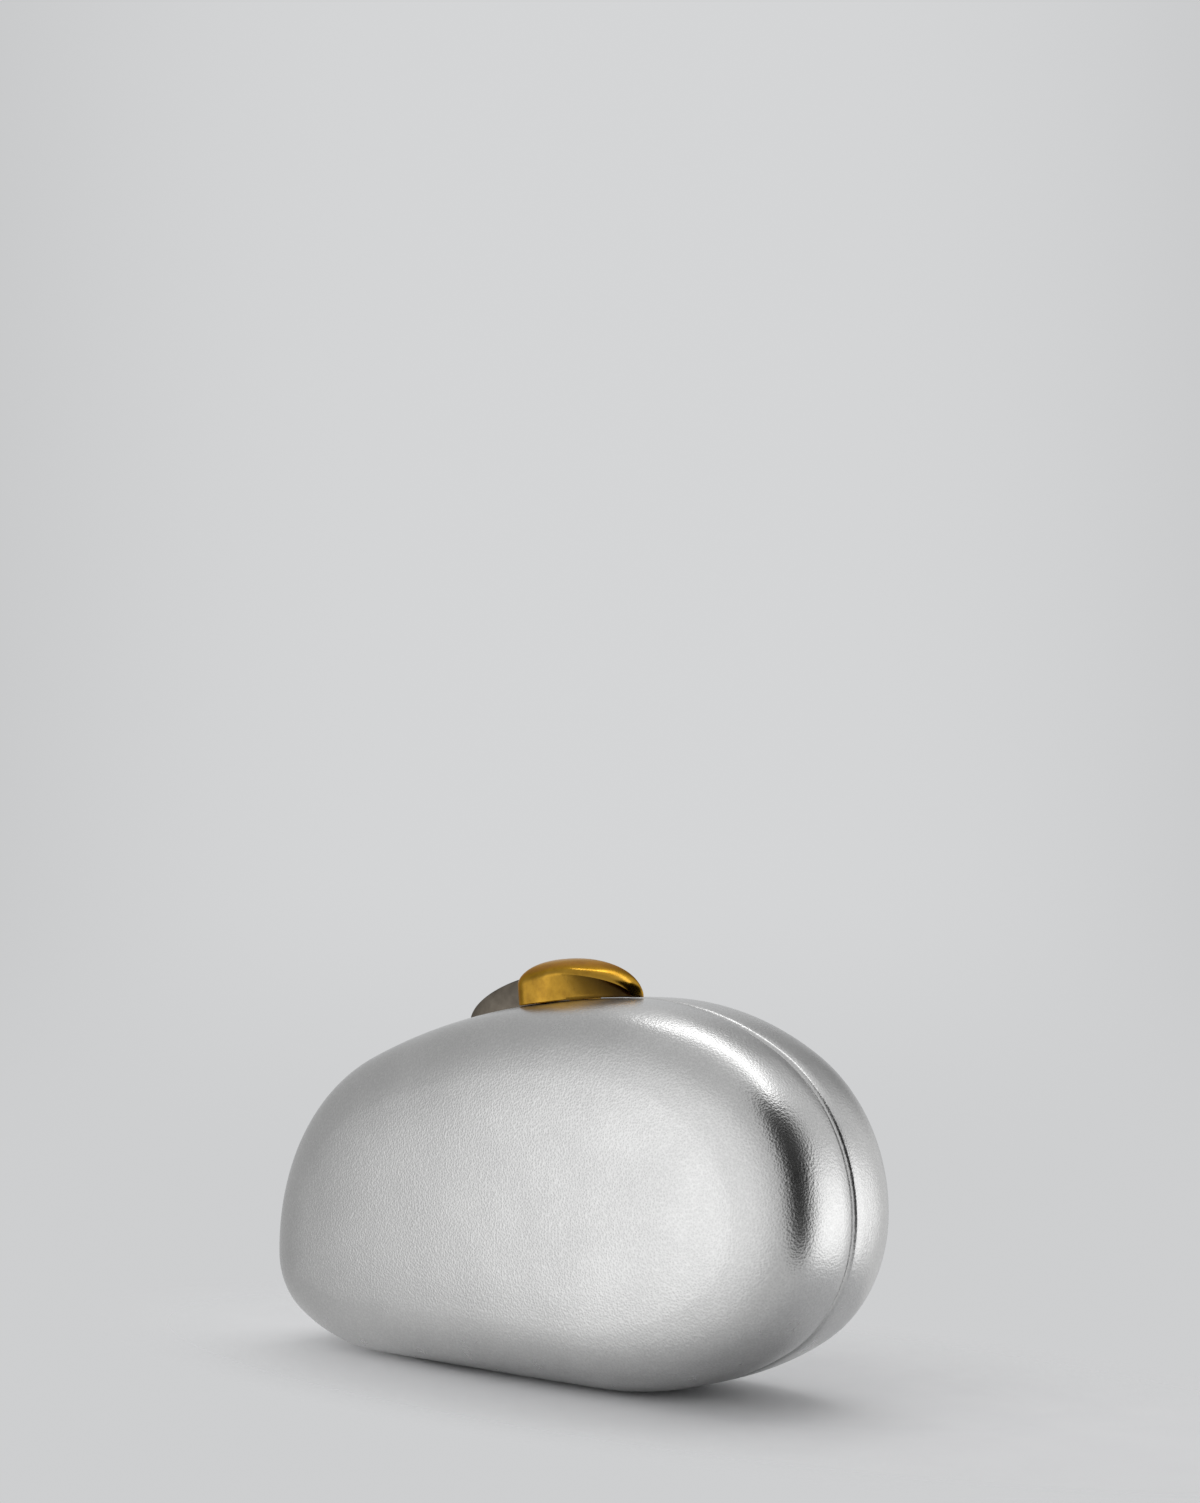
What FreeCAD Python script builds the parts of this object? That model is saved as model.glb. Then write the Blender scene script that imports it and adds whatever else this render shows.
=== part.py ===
import FreeCAD, Part
import math
import os
import Sketcher
from FreeCAD import Placement, Rotation, Vector

# A hard-case clutch: two leather-covered half shells that meet on a vertical seam, hinged along
# the base, with a two-part pebble clasp on top. +Z is up, -Y is the front, +X is to the right.
# The origin is on the floor, in the seam plane, half way along the width. Sizes are in millimetres
# and degrees.
SIZES = {
    # Outline of the case, seen from the front
    "case_width": 184.0,
    "case_height": 96.5,
    "top_x": 27.0,
    "right_z": 46.5,
    "left_z": 24.5,
    "base_left_reach": 54.5,
    "base_right_reach": 25.0,
    "right_top_radius": 44.5,
    "left_top_radius": 60.0,
    "right_bottom_radius": 38.5,
    "left_bottom_radius": 20.0,
    # Depth of one half, its crowned face and its rounded shoulder
    "half_depth": 31.0,
    "crown_radius": 800.0,
    "edge_radius": 18.0,
    "seam_gap": 0.3,
    # Layers of the wall, from the outside in
    "leather_thickness": 1.0,
    "glue_gap": 0.1,
    "shell_thickness": 2.0,
    "frame_thickness": 1.2,
    "frame_depth": 7.0,
    "lining_thickness": 0.8,
    "lining_clearance": 0.3,
    # Base hinge
    "opening_angle": 56.0,
    "relief_margin": 1.0,
    "hinge_x": -15.0,
    "hinge_length": 70.0,
    "knuckle_count": 5.0,
    "knuckle_gap": 0.3,
    "leaf_thickness": 1.0,
    "leaf_width": 6.6,
    "barrel_clearance": 0.4,
    "pin_radius": 1.0,
    "pin_running_clearance": 0.05,
    "pin_seat_clearance": 0.02,
    "rivet_count": 3.0,
    "rivet_pitch": 26.0,
    "rivet_radius": 0.9,
    "rivet_head_radius": 1.6,
    "rivet_head_height": 0.8,
    "fastener_clearance": 0.02,
    # Clasp halves, the second lower and turned half way round; places are measured along the width
    "gold_x": 9.8,
    "gold_length": 34.0,
    "gold_height": 10.8,
    "gold_end_height": 7.6,
    "gunmetal_x": -19.0,
    "gunmetal_length": 32.0,
    "gunmetal_height": 7.8,
    "gunmetal_end_height": 5.6,
    "clasp_depth": 13.0,
    "clasp_tip_depth": 1.6,
    "clasp_tip_height": 1.6,
    "clasp_peak_reach": 13.0,
    "clasp_front_radius": 42.0,
    "clasp_edge_radius": 2.6,
    "clasp_gap": 0.3,
    "clasp_parting": 0.25,
    "clasp_travel": 2.5,
    "boss_length": 8.0,
    "boss_width": 3.0,
    "boss_reach": 3.7,
    "slot_clearance": 0.3,
    # Slider under the frame, its screws, and the spring that brings it back
    "slider_length": 18.0,
    "slider_width": 5.4,
    "slider_thickness": 1.0,
    "slider_clearance": 0.2,
    "screw_radius": 0.7,
    "screw_head_radius": 1.2,
    "screw_head_height": 0.8,
    "screw_pitch": 5.4,
    "screw_depth": 3.0,
    "spring_thickness": 0.3,
    "spring_width": 4.0,
    "spring_foot": 5.6,
    "spring_leg": 2.8,
    "spring_clearance": 0.3,
    "spring_rivet_reach": 3.6,
    "small_rivet_radius": 0.6,
    "small_rivet_head_radius": 1.1,
    "small_rivet_head_height": 0.5,
    # Catch on the front slider and the keeper that it hooks behind
    "catch_width": 2.2,
    "catch_reach": 2.3,
    "catch_hook": 0.7,
    "keeper_thickness": 0.5,
    "keeper_length": 5.0,
    "keeper_reach": 1.0,
    "keeper_rivet_reach": 3.0,
    "keeper_lip": 0.55,
    "seat_gap": 0.05,
}

doc = FreeCAD.newDocument("minaudiere")
sheet = doc.addObject("Spreadsheet::Sheet", "sizes")
for row, (alias, amount) in enumerate(SIZES.items(), 1):
    sheet.set(f"A{row}", alias)
    sheet.set(f"B{row}", str(amount))
    sheet.setAlias(f"B{row}", alias)
doc.recompute()


class Size:
    """A length with its value and the expression that gives it from the sheet."""

    def __init__(self, value, text):
        self.value = value
        self.text = text

    def __add__(self, other):
        other = as_size(other)
        return Size(self.value + other.value, f"({self.text} + {other.text})")

    def __sub__(self, other):
        other = as_size(other)
        return Size(self.value - other.value, f"({self.text} - {other.text})")

    def __mul__(self, factor):
        return Size(self.value * factor, f"({self.text} * {factor})")

    def __truediv__(self, divisor):
        return Size(self.value / divisor, f"({self.text} / {divisor})")

    def __neg__(self):
        return Size(-self.value, f"(0 - {self.text})")

    def __float__(self):
        return float(self.value)


def as_size(amount):
    return amount if isinstance(amount, Size) else Size(float(amount), repr(float(amount)))


class Cells:
    """Gives each cell of the sheet by its alias, as a Size."""

    def __getattr__(self, alias):
        return Size(float(getattr(sheet, alias)), f"sizes.{alias}")


d = Cells()
ZERO = as_size(0)


def bind(item, name, amount):
    item.setExpression(name, as_size(amount).text)


def named(kind, name):
    item = doc.addObject(kind, name)
    item.Label = name
    return item


def move_to(item, corner):
    for axis, amount in zip("xyz", corner):
        bind(item, f"Placement.Base.{axis}", amount)


def box(name, low, high):
    item = named("Part::Box", name)
    move_to(item, low)
    for side, start, end in zip(("Length", "Width", "Height"), low, high):
        bind(item, side, as_size(end) - start)
    return item


TURNS = {"x": Rotation(Vector(0, 1, 0), 90), "z": Rotation()}


def cylinder(name, start, radius, length, along="z"):
    item = named("Part::Cylinder", name)
    item.Placement = Placement(Vector(), TURNS[along])
    move_to(item, start)
    bind(item, "Radius", radius)
    bind(item, "Height", length)
    return item


def cone(name, start, low_radius, high_radius, height):
    item = named("Part::Cone", name)
    move_to(item, start)
    bind(item, "Radius1", low_radius)
    bind(item, "Radius2", high_radius)
    bind(item, "Height", height)
    return item


def fuse(name, items):
    item = named("Part::MultiFuse", name)
    item.Shapes = items
    return item


def group(name, items):
    item = named("Part::Compound", name)
    item.Links = items
    return item


def cut(name, base, tools):
    """Take the tools away one after another; the last step carries the name."""
    for step, tool in enumerate(tools, 1):
        item = named("Part::Cut", name if step == len(tools) else f"{name}_step_{step}")
        item.Base = base
        item.Tool = tool
        base = item
    return base


def mirrored(name, source):
    item = named("Part::Mirroring", name)
    item.Source = source
    item.Normal = Vector(0, 1, 0)
    return item


def sketch_on(body, role, name, offset=None):
    sketch = body.newObject("Sketcher::SketchObject", name)
    plane = next(item for item in body.Origin.OriginFeatures if item.Role == role)
    sketch.AttachmentSupport = [(plane, "")]
    sketch.MapMode = "FlatFace"
    if offset is not None:
        bind(sketch, "AttachmentOffset.Base.z", offset)
    return sketch


# How a sketch numbers its origin and the points of a line or an arc
ORIGIN = (-1, 1)
START, END, CENTRE = 1, 2, 3


def tie(sketch, kind, *geometry, size=None):
    """Add a constraint, bound to the sheet where it has a size."""
    if size is None:
        sketch.addConstraint(Sketcher.Constraint(kind, *geometry))
        return
    size = as_size(size)
    index = sketch.addConstraint(Sketcher.Constraint(kind, *geometry, float(size)))
    label = f"{kind.lower()}_{index}"
    sketch.renameConstraint(index, label)
    sketch.setExpression(f"Constraints.{label}", size.text)


def tie_point(sketch, geometry, point, across, upward):
    """Hold a point at signed distances from the sketch's origin."""
    for kind, size in (("DistanceX", across), ("DistanceY", upward)):
        size = as_size(size)
        if size.value == 0:
            tie(sketch, "PointOnObject", geometry, point, -2 if kind == "DistanceX" else -1)
        elif size.value > 0:
            tie(sketch, kind, *ORIGIN, geometry, point, size=size)
        else:
            tie(sketch, kind, geometry, point, *ORIGIN, size=-size)


def arc(centre, radius, start, end):
    circle = Part.Circle(Vector(*centre, 0), Vector(0, 0, 1), radius)
    return Part.ArcOfCircle(circle, start, end)


def line(start, end):
    return Part.LineSegment(Vector(*start, 0), Vector(*end, 0))


def closed_polygon(sketch, points):
    """A closed run of lines with every corner held at its place."""
    flat = [(float(as_size(x)), float(as_size(y))) for x, y in points]
    count = len(points)
    for index in range(count):
        sketch.addGeometry(line(flat[index], flat[(index + 1) % count]))
    for index, (x, y) in enumerate(points):
        tie(sketch, "Coincident", index, END, (index + 1) % count, START)
        tie_point(sketch, index, START, x, y)


def smaller(first, second):
    return first if float(first) <= float(second) else second


# The largest share of the room beside it that a rounding may take
ROUNDING_SHARE = 0.95


class Corner:
    """A quarter of the outline: two arcs, the tighter at the end of the longer half axis."""

    def __init__(self, side, rise, radius):
        self.side = float(side)
        self.radius = smaller(radius, smaller(side, rise) * ROUNDING_SHARE)
        rise, tight = float(rise), float(self.radius)
        self.tight_side = self.side >= rise
        longer, shorter = max(self.side, rise), min(self.side, rise)
        slack = (longer ** 2 + shorter ** 2 - 2 * longer * tight) / (2 * (shorter - tight))
        self.side_radius, self.flat_radius = (tight, slack) if self.tight_side else (slack, tight)
        sign = 1 if self.tight_side else -1
        self.turn = math.atan2(sign * (self.flat_radius - rise), sign * (self.side - self.side_radius))


half_width = d.case_width / 2
right_top = Corner(half_width - d.top_x, d.case_height - d.right_z, d.right_top_radius)
left_top = Corner(half_width + d.top_x, d.case_height - d.left_z, d.left_top_radius)
left_bottom = Corner(half_width - d.base_left_reach, d.left_z, d.left_bottom_radius)
right_bottom = Corner(half_width - d.base_right_reach, d.right_z, d.right_bottom_radius)
tightest = min((right_top.radius, left_top.radius, left_bottom.radius, right_bottom.radius), key=float)
shoulder_radius = smaller(d.edge_radius, tightest * ROUNDING_SHARE)


def outline(sketch, inset):
    """The case's outline, four two-arc corners and a base line, moved in by inset."""
    half, peak, i = float(half_width), float(d.top_x), float(inset)
    top, right, left = float(d.case_height), float(d.right_z), float(d.left_z)
    base_left, base_right = -float(d.base_left_reach), float(d.base_right_reach)
    rt, lt, lb, rb = right_top, left_top, left_bottom, right_bottom
    pi = math.pi
    pieces = [
        arc((half - rt.side_radius, right), rt.side_radius - i, 0, rt.turn),
        arc((peak, top - rt.flat_radius), rt.flat_radius - i, rt.turn, pi / 2),
        arc((peak, top - lt.flat_radius), lt.flat_radius - i, pi / 2, pi - lt.turn),
        arc((lt.side_radius - half, left), lt.side_radius - i, pi - lt.turn, pi),
        arc((lb.side_radius - half, left), lb.side_radius - i, pi, pi + lb.turn),
        arc((base_left, lb.flat_radius), lb.flat_radius - i, pi + lb.turn, 1.5 * pi),
        line((base_left, i), (base_right, i)),
        arc((base_right, rb.flat_radius), rb.flat_radius - i, 1.5 * pi, 2 * pi - rb.turn),
        arc((half - rb.side_radius, right), rb.side_radius - i, 2 * pi - rb.turn, 2 * pi),
    ]
    for piece in pieces:
        sketch.addGeometry(piece)
    rt_side, rt_flat, lt_flat, lt_side, lb_side, lb_flat, base, rb_flat, rb_side = range(len(pieces))
    for index in range(len(pieces)):
        tie(sketch, "Tangent", index, END, (index + 1) % len(pieces), START)
    for corner, side, flat in ((rt, rt_side, rt_flat), (lt, lt_side, lt_flat),
                               (lb, lb_side, lb_flat), (rb, rb_side, rb_flat)):
        tie(sketch, "Radius", side if corner.tight_side else flat, size=corner.radius - inset)
    tie_point(sketch, lt_flat, START, d.top_x, d.case_height - inset)
    tie(sketch, "DistanceX", *ORIGIN, lt_flat, CENTRE, size=d.top_x)
    tie_point(sketch, base, START, -d.base_left_reach, inset)
    tie(sketch, "Horizontal", base)
    tie(sketch, "DistanceX", *ORIGIN, base, END, size=d.base_right_reach)
    tie_point(sketch, rt_side, START, half_width - inset, d.right_z)
    tie(sketch, "DistanceY", *ORIGIN, rt_side, CENTRE, size=d.right_z)
    tie_point(sketch, lb_side, START, inset - half_width, d.left_z)
    tie(sketch, "DistanceY", *ORIGIN, lb_side, CENTRE, size=d.left_z)


def outline_prism(name, inset, rim, depth):
    """The outline moved in by inset, from rim to depth behind the seam plane, on the front."""
    body = named("PartDesign::Body", name)
    sketch = sketch_on(body, "XZ_Plane", f"{name}_outline", rim)
    outline(sketch, as_size(inset))
    pad = body.newObject("PartDesign::Pad", f"{name}_pad")
    pad.Profile = sketch
    bind(pad, "Length", as_size(depth) - rim)
    doc.recompute()
    return body, pad


CROWN_MARGIN = 10


def case_blank(name, inset, rim):
    """The front half as a full solid, moved in by inset: a prism with a crowned, rounded face."""
    inset = as_size(inset)
    body, pad = outline_prism(name, inset, rim, d.half_depth + CROWN_MARGIN / 2)
    face, radius, middle = d.half_depth - inset, d.crown_radius - inset, d.case_height / 2
    reach = float(d.case_width)
    sketch = sketch_on(body, "YZ_Plane", f"{name}_crown")
    apex = (-float(face), float(middle))
    centre = (float(radius - face), float(middle))
    turn = math.asin(reach / float(radius))
    end = (centre[0] - float(radius) * math.cos(turn), apex[1] + reach)
    far = apex[0] - CROWN_MARGIN
    crown, axis, back, side = range(4)
    sketch.addGeometry(arc(centre, float(radius), math.pi - turn, math.pi))
    sketch.addGeometry(line(apex, (far, apex[1])))
    sketch.addGeometry(line((far, apex[1]), (far, end[1])))
    sketch.addGeometry(line((far, end[1]), end))
    tie(sketch, "Coincident", crown, END, axis, START)
    tie(sketch, "Coincident", axis, END, back, START)
    tie(sketch, "Coincident", back, END, side, START)
    tie(sketch, "Coincident", side, END, crown, START)
    tie(sketch, "Horizontal", axis)
    tie(sketch, "Vertical", back)
    tie(sketch, "Horizontal", side)
    tie(sketch, "Radius", crown, size=radius)
    tie_point(sketch, crown, END, -face, middle)
    tie(sketch, "DistanceY", *ORIGIN, crown, CENTRE, size=middle)
    tie(sketch, "DistanceY", back, START, back, END, size=d.case_width)
    tie(sketch, "DistanceX", axis, END, axis, START, size=CROWN_MARGIN)
    groove = body.newObject("PartDesign::Groove", f"{name}_crown_cut")
    groove.Profile = sketch
    groove.ReferenceAxis = (sketch, [f"Edge{axis + 1}"])
    groove.Angle = 360
    doc.recompute()
    if groove.Shape.Volume >= pad.Shape.Volume:
        raise RuntimeError(f"{name}: the crown cuts nothing")
    crowns = [item for item in groove.Shape.Faces if isinstance(item.Surface, Part.Sphere)]
    rims = [edge for item in crowns for edge in item.Edges]
    shoulder = body.newObject("PartDesign::Fillet", f"{name}_shoulder")
    shoulder.Base = (groove, [f"Edge{index}" for index, edge in enumerate(groove.Shape.Edges, 1)
                              if any(edge.isSame(rim_edge) for rim_edge in rims)])
    bind(shoulder, "Radius", shoulder_radius - inset)
    doc.recompute()
    return body


# Insets of the wall's layers and the places that follow from them
shell_inset = d.leather_thickness + d.glue_gap
shell_inner = shell_inset + d.shell_thickness
frame_inset = shell_inner + d.glue_gap
frame_inner = frame_inset + d.frame_thickness
rim = d.seam_gap / 2
axis_z = frame_inset
barrel_radius = d.frame_thickness + d.leaf_thickness
leaf_top = frame_inner + d.leaf_thickness
barrel_room = barrel_radius + d.barrel_clearance
frame_back = rim + d.frame_depth

# Tools that open the base for the hinge: a slot round its barrel and a relief under its axis
hinge_low = d.hinge_x - d.hinge_length / 2
hinge_high = d.hinge_x + d.hinge_length / 2
BELOW = -5
hinge_slot = box("hinge_slot", (hinge_low - d.knuckle_gap, -barrel_room, BELOW),
                 (hinge_high + d.knuckle_gap, barrel_room, leaf_top))
relief = named("PartDesign::Body", "base_relief")
relief_sketch = sketch_on(relief, "YZ_Plane", "base_relief_profile")
relief_half = (float(d.opening_angle) / 2 + float(d.relief_margin)) * math.pi / 180
relief_reach = float(axis_z - BELOW) * math.tan(relief_half)
closed_polygon(relief_sketch, [(ZERO, axis_z), (-relief_reach, BELOW), (relief_reach, BELOW)])
relief_pad = relief.newObject("PartDesign::Pad", "base_relief_pad")
relief_pad.Profile = relief_sketch
bind(relief_pad, "Length", d.case_width)
relief_pad.Midplane = True
doc.recompute()


def top_point(x):
    """Height of the outline's top at x, and its slope there."""
    peak, top = float(d.top_x), float(d.case_height)
    corner, level = (right_top, d.right_z) if x > peak else (left_top, d.left_z)
    reach = abs(x - peak)
    if reach <= corner.flat_radius * math.cos(corner.turn):
        turn = math.asin(reach / corner.flat_radius)
        height = top - corner.flat_radius * (1 - math.cos(turn))
    else:
        turn = math.asin((reach - corner.side + corner.side_radius) / corner.side_radius)
        height = float(level) + corner.side_radius * math.cos(turn)
    return height, -turn if x > peak else turn


def fall(x, reach):
    """How far the top drops below its tangent at x, within reach to either side."""
    height, slope = top_point(x)
    drops = []
    for step in (-reach, reach):
        on_tangent = height + step * math.sin(slope)
        drops.append((on_tangent - top_point(x + step * math.cos(slope))[0]) * math.cos(slope))
    return max(drops)


def on_top(x, turned):
    """A place on the top of the case: local x runs along its slope, local z stands on it."""
    height, slope = top_point(x)
    tilt = Rotation(Vector(0, 1, 0), -math.degrees(slope))
    half_turn = Rotation(Vector(0, 0, 1), 180 if turned else 0)
    return Placement(Vector(x, 0, height), tilt.multiply(half_turn))


def put(item, place):
    """Set a piece that is built about the origin on the top of the case."""
    item.Placement = place.multiply(item.Placement)
    return item


# The clasp's places along the width; each half's spring is riveted beyond its slider's end, far
# enough that the spring's leg, square to the curved top where it is riveted, clears the slider
gold_x, gunmetal_x = float(d.gold_x), float(d.gunmetal_x)
leg_depth = float(frame_inner + d.seat_gap + d.spring_leg)


def spring_x(x, toward):
    reach = float(d.slider_length / 2 + d.spring_clearance + d.spring_thickness + d.spring_rivet_reach)
    lean = abs(top_point(x)[1] - top_point(x + toward * reach)[1])
    slope = top_point(x + toward * reach / 2)[1]
    return x + toward * (reach + leg_depth * math.sin(lean)) * math.cos(slope)


gold_spring_x = spring_x(gold_x, 1)
gunmetal_spring_x = spring_x(gunmetal_x, -1)

# Heights below the case's top in a clasp half's own frame: flat pieces hang clear of the curved frame
slider_reach = float(d.slider_length / 2 + d.clasp_travel)
slider_fall = max(fall(gold_x, slider_reach), fall(gunmetal_x, slider_reach))
slider_top = -(frame_inner + d.slider_clearance + slider_fall)
slider_low = slider_top - d.slider_thickness
spring_near = d.spring_rivet_reach + d.spring_thickness
spring_far = d.spring_foot - d.spring_rivet_reach
foot_reach = max(float(spring_near), float(spring_far))
spring_fall = max(fall(gold_spring_x, foot_reach), fall(gunmetal_spring_x, foot_reach))
spring_top = -(frame_inner + d.seat_gap + spring_fall)
keeper_top = -(frame_inner + d.seat_gap)
boss_y = -d.boss_reach

# Heads of screws and rivets narrow to this share of their radius; edges closer than this are one
HEAD_TAPER = 0.7
SAME_PLACE = 0.01


def clasp_piece(name, place, length, peak, end_height):
    """A pebble half: tall at one end, tapering to the other, with a boss that passes the wall."""
    body = named("PartDesign::Body", name)
    half = length / 2
    peak_x = d.clasp_peak_reach - half
    low = d.clasp_gap
    sketch = sketch_on(body, "XZ_Plane", f"{name}_side", d.clasp_parting)

    def arc_radius(run, drop):
        return (run ** 2 + drop ** 2) / (2 * drop)

    tip_run, tip_drop = float(half - peak_x), float(peak - d.clasp_tip_height)
    end_run, end_drop = float(peak_x + half), float(peak - end_height)
    tip_radius, end_radius = arc_radius(tip_run, tip_drop), arc_radius(end_run, end_drop)
    x0, x1, xp, z0, zp = (float(size) for size in (-half, half, peak_x, low, peak))
    base, tip, tip_top, end_top, end = range(5)
    quarter = math.pi / 2
    sketch.addGeometry(line((x0, z0), (x1, z0)))
    sketch.addGeometry(line((x1, z0), (x1, zp - tip_drop)))
    sketch.addGeometry(arc((xp, zp - tip_radius), tip_radius,
                           quarter - math.asin(tip_run / tip_radius), quarter))
    sketch.addGeometry(arc((xp, zp - end_radius), end_radius,
                           quarter, quarter + math.asin(end_run / end_radius)))
    sketch.addGeometry(line((x0, zp - end_drop), (x0, z0)))
    for index in range(5):
        joint = "Tangent" if index == tip_top else "Coincident"
        tie(sketch, joint, index, END, (index + 1) % 5, START)
    tie_point(sketch, base, START, -half, low)
    tie_point(sketch, base, END, half, low)
    tie_point(sketch, tip, END, half, d.clasp_tip_height)
    tie_point(sketch, end_top, START, peak_x, peak)
    tie(sketch, "DistanceX", end_top, CENTRE, *ORIGIN, size=-peak_x)
    tie_point(sketch, end, START, -half, end_height)
    pad = body.newObject("PartDesign::Pad", f"{name}_block")
    pad.Profile = sketch
    bind(pad, "Length", d.clasp_depth)

    tip_y = -(d.clasp_parting + d.clasp_tip_depth)
    front_y = -(d.clasp_parting + d.clasp_depth)
    plan = sketch_on(body, "XY_Plane", f"{name}_plan")
    chord = Vector(float(half) * 2, float(tip_y - front_y), 0)
    radius = float(d.clasp_front_radius)
    outward = Vector(chord.y, -chord.x, 0).normalize()
    middle = Vector(0, float(tip_y + front_y) / 2, 0)
    centre = middle - outward * math.sqrt(radius ** 2 - (chord.Length / 2) ** 2)
    angles = [math.atan2(y - centre.y, x - centre.x)
              for x, y in ((-float(half), float(front_y)), (float(half), float(tip_y)))]
    margin = d.clasp_depth
    corners = [(half, tip_y), (half + margin, tip_y), (half + margin, front_y - margin),
               (-half, front_y - margin), (-half, front_y)]
    flat = [(float(x), float(y)) for x, y in corners]
    plan.addGeometry(arc((centre.x, centre.y), radius, *angles))
    for start, end in zip(flat, flat[1:]):
        plan.addGeometry(line(start, end))
    front, last = 0, len(corners) - 1
    for index in range(last):
        tie(plan, "Coincident", index, END, index + 1, START)
        tie_point(plan, index + 1, START, *corners[index])
    tie(plan, "Coincident", last, END, front, START)
    tie_point(plan, last, END, *corners[last])
    tie(plan, "Radius", front, size=d.clasp_front_radius)
    taper = body.newObject("PartDesign::Pocket", f"{name}_taper")
    taper.Profile = plan
    taper.Type = "Length"
    taper.Reversed = True
    bind(taper, "Length", peak + d.clasp_gap)
    doc.recompute()
    if taper.Shape.Volume >= pad.Shape.Volume:
        raise RuntimeError(f"{name}: the taper cuts nothing")

    def rounded(edge):
        """Edges of the cap and the tall end, off the parting face and the tip."""
        mid = edge.CenterOfMass
        off_parting = mid.y < -float(d.clasp_parting) - SAME_PLACE
        off_tip = mid.x < float(half) - SAME_PLACE
        tall = mid.z > float(d.clasp_tip_height) and edge.Length > float(d.clasp_tip_height)
        return off_parting and off_tip and tall

    round_edges = body.newObject("PartDesign::Fillet", f"{name}_rounding")
    round_edges.Base = (taper, [f"Edge{index}" for index, edge in enumerate(taper.Shape.Edges, 1)
                                if rounded(edge)])
    bind(round_edges, "Radius", d.clasp_edge_radius)
    doc.recompute()

    boss_sketch = sketch_on(body, "XY_Plane", f"{name}_boss_plan", d.clasp_gap * 2)
    side = d.boss_length / 2
    near, far = boss_y + d.boss_width / 2, boss_y - d.boss_width / 2
    closed_polygon(boss_sketch, [(-side, far), (side, far), (side, near), (-side, near)])
    boss = body.newObject("PartDesign::Pad", f"{name}_boss")
    boss.Profile = boss_sketch
    boss.Reversed = True
    bind(boss, "Length", d.clasp_gap * 2 - slider_top)
    screw_sketch = sketch_on(body, "XY_Plane", f"{name}_screw_plan", slider_top)
    for index, x in enumerate((-d.screw_pitch / 2, d.screw_pitch / 2)):
        screw_sketch.addGeometry(Part.Circle(Vector(float(x), float(boss_y), 0), Vector(0, 0, 1),
                                             float(d.screw_radius)))
        tie(screw_sketch, "Radius", index, size=d.screw_radius + d.fastener_clearance)
        tie_point(screw_sketch, index, CENTRE, x, boss_y)
    screw_holes = body.newObject("PartDesign::Pocket", f"{name}_screw_holes")
    screw_holes.Profile = screw_sketch
    screw_holes.Type = "Length"
    screw_holes.Reversed = True
    bind(screw_holes, "Length", d.screw_depth + d.clasp_gap)
    doc.recompute()
    if screw_holes.Shape.Volume >= boss.Shape.Volume:
        raise RuntimeError(f"{name}: the screw holes cut nothing")
    return put(body, place)


def screw_places():
    return [(-d.screw_pitch / 2, boss_y), (d.screw_pitch / 2, boss_y)]


def slider_piece(name, place):
    """The plate that holds a clasp half down from inside the case and slides with it."""
    half = d.slider_length / 2
    near, far = boss_y + d.slider_width / 2, boss_y - d.slider_width / 2
    plate = box(f"{name}_plate", (-half, far, slider_low), (half, near, slider_top))
    holes = [cylinder(f"{name}_hole_{index}", (x, y, slider_low), d.screw_radius + d.fastener_clearance,
                      d.slider_thickness) for index, (x, y) in enumerate(screw_places(), 1)]
    return put(cut(name, plate, holes), place)


def screw_pieces(name, place):
    screws = []
    for index, (x, y) in enumerate(screw_places(), 1):
        head = cone(f"{name}_head_{index}", (x, y, slider_low - d.screw_head_height),
                    d.screw_head_radius * HEAD_TAPER, d.screw_head_radius, d.screw_head_height)
        shank = cylinder(f"{name}_shank_{index}", (x, y, slider_low), d.screw_radius,
                         d.slider_thickness + d.screw_depth)
        screws.append(fuse(f"{name}_{index}", [head, shank]))
    return put(group(name, screws), place)


def small_rivet(name, spot, seat, grip, place):
    """A rivet whose head lies under seat and whose shank fills the grip above it."""
    head = cone(f"{name}_head", (*spot, seat - d.small_rivet_head_height),
                d.small_rivet_head_radius * HEAD_TAPER, d.small_rivet_head_radius,
                d.small_rivet_head_height)
    shank = cylinder(f"{name}_shank", (*spot, seat), d.small_rivet_radius, grip)
    return put(fuse(name, [head, shank]), place)


def small_hole(name, spot, place):
    """A tool for a small rivet's hole right through the frame."""
    tool = cylinder(f"{name}_tool", (*spot, -(frame_inner + d.slider_clearance)),
                    d.small_rivet_radius + d.fastener_clearance, frame_inner)
    return put(group(name, [tool]), place)


def spring_piece(name, place):
    """A bent leaf: its foot is riveted under the frame, its leg stands against the slider's end."""
    strip = named("PartDesign::Body", f"{name}_strip")
    profile = sketch_on(strip, "XZ_Plane", f"{name}_profile", d.boss_reach - d.spring_width / 2)
    under = spring_top - d.spring_thickness
    leg_low = spring_top - d.spring_leg
    closed_polygon(profile, [(-spring_near, leg_low), (-d.spring_rivet_reach, leg_low),
                             (-d.spring_rivet_reach, under), (spring_far, under),
                             (spring_far, spring_top), (-spring_near, spring_top)])
    pad = strip.newObject("PartDesign::Pad", f"{name}_pad")
    pad.Profile = profile
    bind(pad, "Length", d.spring_width)
    doc.recompute()
    hole = cylinder(f"{name}_hole", (*spring_spot, under),
                    d.small_rivet_radius + d.fastener_clearance, d.spring_thickness)
    return put(cut(name, strip, [hole]), place)


def slot_tool(name, place):
    """The slot through leather, shell and frame that the boss slides in."""
    side = d.boss_length / 2 + d.slot_clearance
    reach = d.boss_width / 2 + d.slot_clearance
    tool = box(f"{name}_tool", (-side, boss_y - reach, slider_top),
               (side + d.clasp_travel, boss_y + reach, d.gold_height))
    return put(group(name, [tool]), place)


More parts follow.
